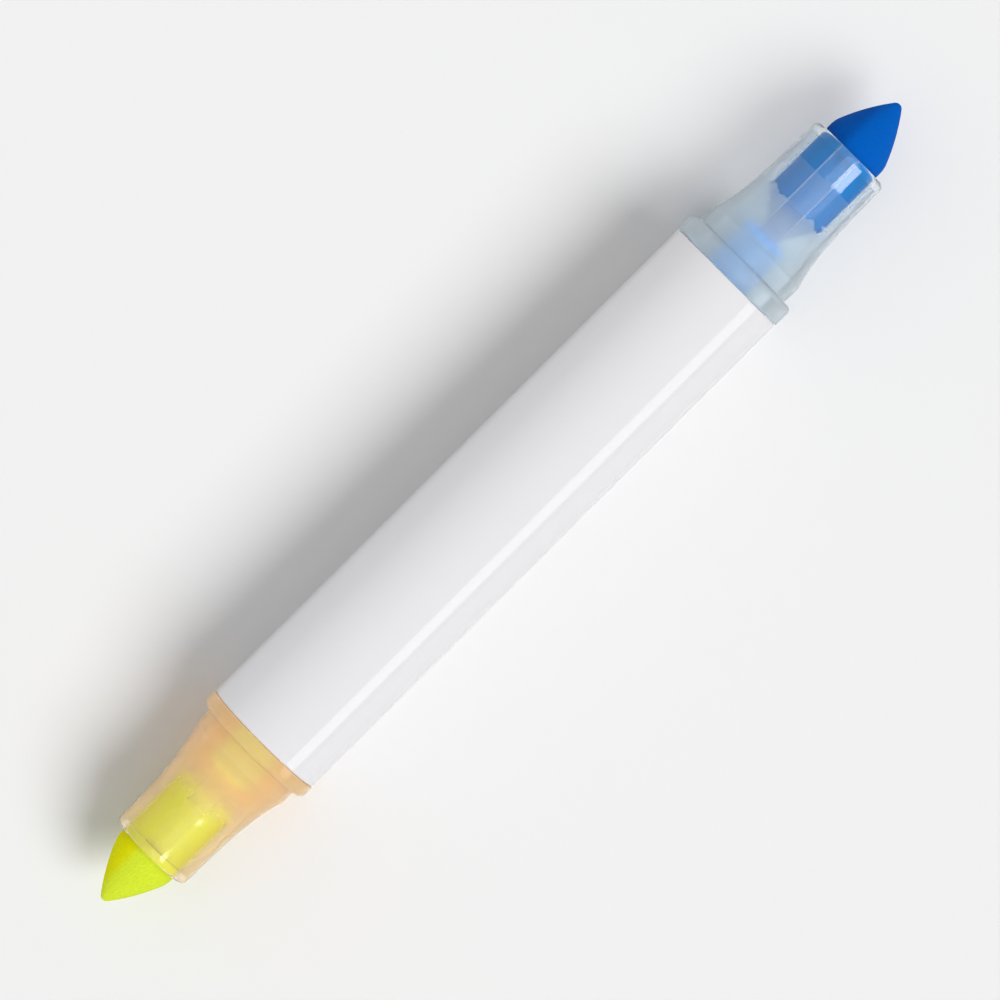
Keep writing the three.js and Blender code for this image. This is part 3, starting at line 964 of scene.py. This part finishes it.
class PEN_OT_studio(bpy.types.Operator):
    """Set the floor, the soft lights, the pale surroundings and the camera."""

    bl_idname = "pen.studio"
    bl_label = "Studio"
    bl_options = {"REGISTER", "UNDO"}

    def execute(self, context):
        colours = context.scene.pen_colours
        start_clean()
        bpy.ops.mesh.primitive_plane_add(size=FLOOR_SIZE, location=(0, 0, 0))
        floor = context.object
        floor.name = "floor"
        floor.data.materials.append(seamless_paper(colours))
        floor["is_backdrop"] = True
        self.surroundings(context)
        tilt, spread, share = FLOOR_KEY
        see_through = [bpy.data.objects["blue_holder"], bpy.data.objects["blue_felt_nib"]]
        self.key_light("floor_key", (tilt, spread, share * (1 - PASSED_SHARE)), floor, "INCLUDE")
        passed = (tilt, spread, share * PASSED_SHARE)
        self.key_light("floor_key_passed", passed, floor, "INCLUDE", see_through)
        self.key_light("pen_key", PEN_KEY, floor, "EXCLUDE")
        self.softbox("strip_softbox", *STRIP_SOFTBOX)
        self.softbox("window_softbox", *WINDOW_SOFTBOX)
        self.softbox("glint_softbox", *GLINT_SOFTBOX)
        self.camera(context)
        context.scene.view_settings.view_transform = "Standard"
        return {"FINISHED"}

    def surroundings(self, context):
        """Pale surroundings, a little brighter on the side away from the key light."""
        world = bpy.data.worlds.new("pale_surroundings")
        context.scene.world = world
        world.use_nodes = True
        tree = world.node_tree
        background = next(n for n in tree.nodes if n.type == "BACKGROUND")
        direction = add_node(tree, "ShaderNodeTexCoord")
        parts = add_node(tree, "ShaderNodeSeparateXYZ", Vector=direction.outputs["Generated"])
        glow = add_node(
            tree, "ShaderNodeMapRange",
            {"From Min": -1.0, "From Max": 1.0, "To Min": SKY_NEAR_KEY, "To Max": SKY_OPPOSITE},
            Value=parts.outputs["Y"],
        )
        tree.links.new(glow.outputs["Result"], background.inputs["Strength"])
        background.inputs["Color"].default_value = (1, 1, 1, 1)

    def key_light(self, name, values, floor, link_state, see_through=()):
        """A wide soft light on the -Y side, for the floor or for all but the floor. The floor's is the
        lower of the two, which draws the pen's shadow out long and soft towards +Y. Pieces that are
        see_through cast no shadow in it."""
        tilt, spread = math.radians(values[0]), math.radians(values[1])
        lamp = bpy.data.lights.new(name, "SUN")
        lamp.angle = spread
        lamp.energy = values[2] * math.pi / math.cos(tilt)
        holder = bpy.data.objects.new(name, lamp)
        bpy.context.scene.collection.objects.link(holder)
        holder.rotation_euler = (tilt, 0, 0)
        holder.visible_glossy = False
        lit = bpy.data.collections.new(f"{name}_linking")
        lit.objects.link(floor)
        lit.collection_objects[0].light_linking.link_state = link_state
        holder.light_linking.receiver_collection = lit
        if see_through:
            unshaded = bpy.data.collections.new(f"{name}_blockers")
            for piece in see_through:
                unshaded.objects.link(piece)
            for member in unshaded.collection_objects:
                member.light_linking.link_state = "EXCLUDE"
            holder.light_linking.blocker_collection = unshaded

    def softbox(self, name, degrees, distance, size, radiance, x):
        """A rectangular lamp seen only as a reflection, facing the pen's axis from the -Y side."""
        tilt = math.radians(degrees)
        lamp = bpy.data.lights.new(name, "AREA")
        lamp.shape = "RECTANGLE"
        lamp.size, lamp.size_y = size
        lamp.energy = radiance * math.pi * size[0] * size[1]
        holder = bpy.data.objects.new(name, lamp)
        bpy.context.scene.collection.objects.link(holder)
        holder.location = (x, -distance * math.sin(tilt), pen_axis() + distance * math.cos(tilt))
        holder.rotation_euler = (tilt, 0, 0)
        holder.visible_camera = False
        holder.visible_diffuse = False
        holder.visible_transmission = False

    def camera(self, context):
        """Looks straight down on the pen, turned so that the pen runs from lower left to upper right."""
        lens = bpy.data.cameras.new("camera")
        lens.lens = CAMERA_LENS
        lens.clip_start, lens.clip_end = 0.05, 20.0
        viewer = bpy.data.objects.new("camera", lens)
        context.scene.collection.objects.link(viewer)
        low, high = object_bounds()
        target = Vector(((low[0] + high[0]) / 2 + CAMERA_ALONG, CAMERA_ASIDE, pen_axis()))
        distance = CAMERA_FIELD * CAMERA_LENS / lens.sensor_width
        away = Vector((CAMERA_LEAN, 0, 1)).normalized()
        right = Vector((math.cos(PEN_SLOPE), -math.sin(PEN_SLOPE), 0))
        up = away.cross(right).normalized()
        right = up.cross(away)
        turn = Matrix((right, up, away)).transposed()
        viewer.matrix_world = Matrix.Translation(target + distance * away) @ turn.to_4x4()
        context.scene.camera = viewer


class PEN_PT_panel(bpy.types.Panel):
    """Lists the pen's pieces in the sidebar."""

    bl_idname = "PEN_PT_panel"
    bl_label = "Marking Pen"
    bl_space_type = "VIEW_3D"
    bl_region_type = "UI"
    bl_category = "Pen"

    def draw(self, context):
        for operator in OPERATORS:
            self.layout.operator(operator.bl_idname)
        scene = context.scene
        for group in (scene.pen_sizes, scene.pen_colours, scene.pen_blue_look, scene.pen_yellow_look):
            column = self.layout.column()
            for name in group.__annotations__:
                column.prop(group, name)


OPERATORS = (PEN_OT_barrel, PEN_OT_nib_holders, PEN_OT_nibs, PEN_OT_reservoirs, PEN_OT_studio)
CLASSES = (PenSizes, HolderLook, PenColours, *OPERATORS, PEN_PT_panel)


def register():
    for cls in CLASSES:
        bpy.utils.register_class(cls)
    bpy.types.Scene.pen_sizes = PointerProperty(type=PenSizes)
    bpy.types.Scene.pen_colours = PointerProperty(type=PenColours)
    for name in ENDS:
        setattr(bpy.types.Scene, f"pen_{name}_look", PointerProperty(type=HolderLook))


def unregister():
    for name in ENDS:
        delattr(bpy.types.Scene, f"pen_{name}_look")
    del bpy.types.Scene.pen_colours
    del bpy.types.Scene.pen_sizes
    for cls in reversed(CLASSES):
        bpy.utils.unregister_class(cls)


def main():
    register()
    for name, values in HOLDER_LOOKS.items():
        look = getattr(bpy.context.scene, f"pen_{name}_look")
        for key, value in values.items():
            setattr(look, key, value)
    bpy.ops.pen.barrel()
    bpy.ops.pen.nib_holders()
    bpy.ops.pen.nibs()
    bpy.ops.pen.reservoirs()
    bpy.ops.pen.studio()


if __name__ == "__main__":
    main()
